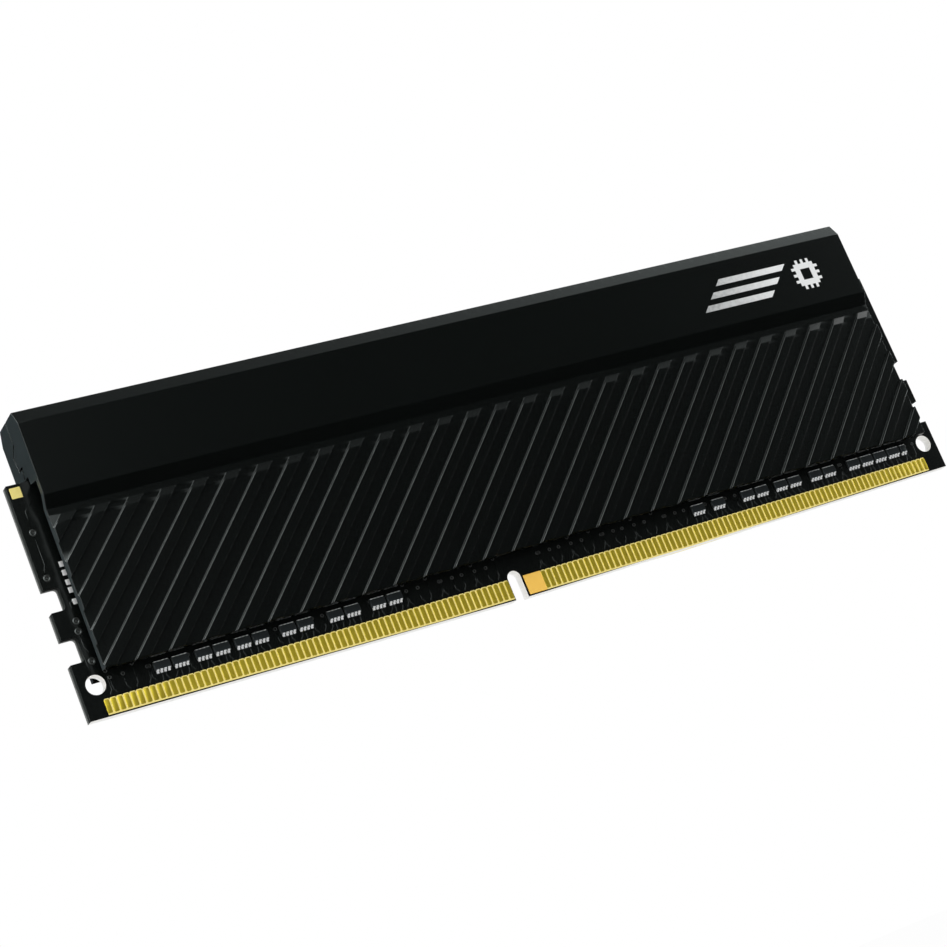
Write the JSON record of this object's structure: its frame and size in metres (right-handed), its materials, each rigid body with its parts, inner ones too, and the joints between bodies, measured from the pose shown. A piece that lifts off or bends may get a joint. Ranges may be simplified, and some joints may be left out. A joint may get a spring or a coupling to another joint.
{
  "type": "memory module",
  "caption": "Desktop memory module with gold edge contacts and a two-shell black aluminium heat spreader with leaning ribs.",
  "frame": {"origin": "middle of the card's bottom edge, where it stands in its socket", "axes": "+X along the card, to the right as seen from the front; +Z away from the socket; the front faces -Y"},
  "size_m": [0.1334, 0.0081, 0.0394],
  "materials": {
    "solder_mask": "black solder mask, semi-gloss",
    "gold_plating": "gold-plated copper",
    "wide_gold": "gold-plated copper, smooth",
    "black_anodised": "black anodised, satin",
    "chip_epoxy": "moulded epoxy, matte",
    "resistor_ceramic": "glazed resistor body on solder lands",
    "thermal_gap": "soft grey thermal pad",
    "silver_print": "silver print"
  },
  "bodies": {
    "root": {"circuit_board": "solder_mask", "corner_test_pad": "gold_plating", "front_contacts_left": "gold_plating", "front_contacts_right": "gold_plating", "front_heat_spreader": "black_anodised", "front_memory_chip_1": "chip_epoxy", "front_memory_chip_2": "chip_epoxy", "front_memory_chip_3": "chip_epoxy", "front_memory_chip_4": "chip_epoxy", "front_memory_chip_5": "chip_epoxy", "front_memory_chip_6": "chip_epoxy", "front_memory_chip_7": "chip_epoxy", "front_memory_chip_8": "chip_epoxy", "front_resistor_bank_1": "resistor_ceramic", "front_resistor_bank_10": "resistor_ceramic", "front_resistor_bank_11": "resistor_ceramic", "front_resistor_bank_12": "resistor_ceramic", "front_resistor_bank_13": "resistor_ceramic", "front_resistor_bank_2": "resistor_ceramic", "front_resistor_bank_3": "resistor_ceramic", "front_resistor_bank_4": "resistor_ceramic", "front_resistor_bank_5": "resistor_ceramic", "front_resistor_bank_6": "resistor_ceramic", "front_resistor_bank_7": "resistor_ceramic", "front_resistor_bank_8": "resistor_ceramic", "front_resistor_bank_9": "resistor_ceramic", "front_thermal_pad": "thermal_gap", "front_wide_contact": "wide_gold", "pictogram_chip": "silver_print", "pictogram_stripe_1": "silver_print", "pictogram_stripe_2": "silver_print", "pictogram_stripe_3": "silver_print", "rear_contacts_left": "gold_plating", "rear_contacts_right": "gold_plating", "rear_heat_spreader": "black_anodised", "rear_memory_chip_1": "chip_epoxy", "rear_memory_chip_2": "chip_epoxy", "rear_memory_chip_3": "chip_epoxy", "rear_memory_chip_4": "chip_epoxy", "rear_memory_chip_5": "chip_epoxy", "rear_memory_chip_6": "chip_epoxy", "rear_memory_chip_7": "chip_epoxy", "rear_memory_chip_8": "chip_epoxy", "rear_resistor_bank_1": "resistor_ceramic", "rear_resistor_bank_10": "resistor_ceramic", "rear_resistor_bank_11": "resistor_ceramic", "rear_resistor_bank_12": "resistor_ceramic", "rear_resistor_bank_13": "resistor_ceramic", "rear_resistor_bank_2": "resistor_ceramic", "rear_resistor_bank_3": "resistor_ceramic", "rear_resistor_bank_4": "resistor_ceramic", "rear_resistor_bank_5": "resistor_ceramic", "rear_resistor_bank_6": "resistor_ceramic", "rear_resistor_bank_7": "resistor_ceramic", "rear_resistor_bank_8": "resistor_ceramic", "rear_resistor_bank_9": "resistor_ceramic", "rear_thermal_pad": "thermal_gap", "rear_wide_contact": "wide_gold", "settings_memory_chip": "chip_epoxy"}
  },
  "joints": []
}
